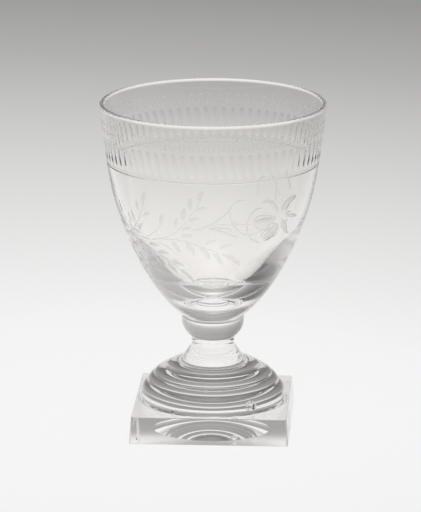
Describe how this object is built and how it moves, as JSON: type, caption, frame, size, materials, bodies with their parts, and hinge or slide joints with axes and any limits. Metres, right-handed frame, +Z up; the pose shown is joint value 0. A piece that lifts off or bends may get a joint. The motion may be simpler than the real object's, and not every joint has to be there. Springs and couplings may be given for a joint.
{
  "type": "sweetmeat glass",
  "caption": "Stemmed sweetmeat glass with an ovoid engraved bowl, a flattened knop, a short flared stem and a terraced round foot on a square plinth with a hollow underside.",
  "frame": {"origin": "centre of the square plinth's underside, on the plane of its flat part", "axes": "+Z up along the axis of the bowl and stem; the square plinth's sides lie along X and Y"},
  "size_m": [0.094, 0.094, 0.138],
  "materials": {
    "clear_glass": "clear, faintly grey lead glass, fire polished; the bowl carries polished cut flutes and matt engraving"
  },
  "bodies": {
    "root": {"bowl": "clear_glass", "knop": "clear_glass", "stem": "clear_glass", "terraced_foot": "clear_glass", "square_plinth": "clear_glass"}
  },
  "joints": []
}
